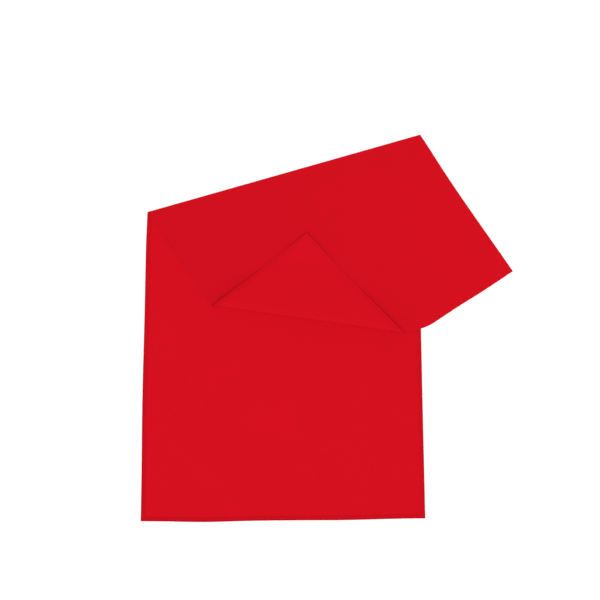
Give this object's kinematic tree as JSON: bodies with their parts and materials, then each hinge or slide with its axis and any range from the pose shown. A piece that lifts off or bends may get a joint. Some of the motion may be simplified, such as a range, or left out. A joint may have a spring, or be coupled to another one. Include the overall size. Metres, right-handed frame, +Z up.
{
  "type": "fire blanket",
  "caption": "Long rectangular cloth with stitched hems, laid flat, one end folded forward askew and its loose corner turned back.",
  "frame": {"origin": "on the floor, under the middle of the folded blanket's bounding box", "axes": "+X along the near short edge, +Y along the long edges away from it, +Z up from the floor"},
  "size_m": [1.1988, 1.2562, 0.0261],
  "materials": {
    "cloth": "matt saturated red, close fine weave",
    "hem": "the same cloth doubled, pressed at the fold",
    "thread": "matching red sewing thread, slight sheen"
  },
  "bodies": {
    "main": {"main_panel": "cloth", "main_near_hem": "hem", "main_near_stitching": "thread", "main_left_hem": "hem", "main_left_stitching": "thread", "main_right_hem": "hem", "main_right_stitching": "thread"},
    "flap": {"flap_panel": "cloth", "flap_far_hem": "hem", "flap_far_stitching": "thread", "flap_left_hem": "hem", "flap_left_stitching": "thread", "flap_right_hem": "hem", "flap_right_stitching": "thread"},
    "corner": {"corner_panel": "cloth", "corner_far_hem": "hem", "corner_far_stitching": "thread", "corner_left_hem": "hem", "corner_left_stitching": "thread"}
  },
  "joints": [
    {"name": "flap_fold", "type": "hinge", "parent": "main", "child": "flap", "pos_m": [-0.59945, 0.35805, 0.0036], "axis": [-0.9578, -0.2873, 0], "range_deg": [0, 177]},
    {"name": "corner_fold", "type": "hinge", "parent": "flap", "child": "corner", "pos_m": [-0.39695, 0.05182, 0.0144], "axis": [0.9904, -0.138, 0], "range_deg": [0, 178]}
  ]
}
